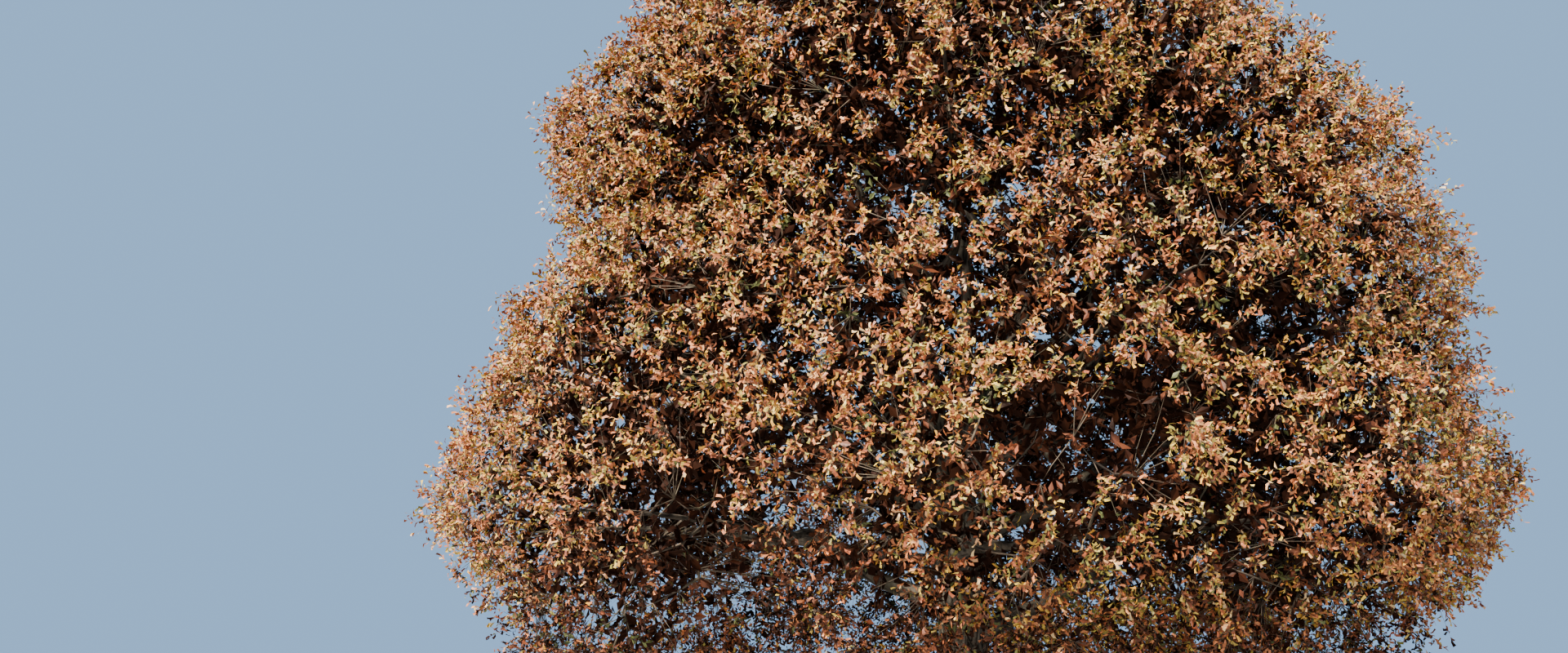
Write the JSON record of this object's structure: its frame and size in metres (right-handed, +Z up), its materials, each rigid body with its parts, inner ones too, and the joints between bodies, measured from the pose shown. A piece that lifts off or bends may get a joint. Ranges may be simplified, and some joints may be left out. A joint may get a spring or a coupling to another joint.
{
  "type": "oak tree",
  "caption": "Broad open-grown oak in autumn leaf: a flared trunk that forks low, rising boughs, and a wide dense crown of separate foliage masses down to head height.",
  "frame": {"origin": "centre of the flat cut under the trunk, at ground level", "axes": "+Z up along the trunk, +Y away from the viewer of the picture, +X to the viewer's right"},
  "size_m": [19.7329, 19.5369, 18.1105],
  "materials": {
    "bark": "rough grey-brown bark",
    "foliage": "dry russet leaves"
  },
  "bodies": {
    "root": {"trunk": "bark", "bough_skirt_1": "bark", "bough_skirt_2": "bark", "bough_skirt_3": "bark", "bough_skirt_4": "bark", "bough_skirt_5": "bark", "bough_skirt_6": "bark", "bough_skirt_7": "bark", "bough_skirt_8": "bark", "bough_middle_1": "bark", "bough_middle_2": "bark", "bough_middle_3": "bark", "bough_middle_4": "bark", "bough_middle_5": "bark", "bough_middle_6": "bark", "bough_middle_7": "bark", "bough_middle_8": "bark", "bough_upper_1": "bark", "bough_upper_2": "bark", "bough_upper_3": "bark", "bough_upper_4": "bark", "bough_upper_5": "bark", "bough_upper_6": "bark", "bough_upper_7": "bark", "bough_high_1": "bark", "bough_high_2": "bark", "bough_high_3": "bark", "bough_high_4": "bark", "bough_high_5": "bark", "bough_top_1": "bark", "foliage_skirt_1": "foliage", "foliage_skirt_2": "foliage", "foliage_skirt_3": "foliage", "foliage_skirt_4": "foliage", "foliage_skirt_5": "foliage", "foliage_skirt_6": "foliage", "foliage_skirt_7": "foliage", "foliage_skirt_8": "foliage", "foliage_middle_1": "foliage", "foliage_middle_2": "foliage", "foliage_middle_3": "foliage", "foliage_middle_4": "foliage", "foliage_middle_5": "foliage", "foliage_middle_6": "foliage", "foliage_middle_7": "foliage", "foliage_middle_8": "foliage", "foliage_upper_1": "foliage", "foliage_upper_2": "foliage", "foliage_upper_3": "foliage", "foliage_upper_4": "foliage", "foliage_upper_5": "foliage", "foliage_upper_6": "foliage", "foliage_upper_7": "foliage", "foliage_high_1": "foliage", "foliage_high_2": "foliage", "foliage_high_3": "foliage", "foliage_high_4": "foliage", "foliage_high_5": "foliage", "foliage_top_1": "foliage"}
  },
  "joints": []
}
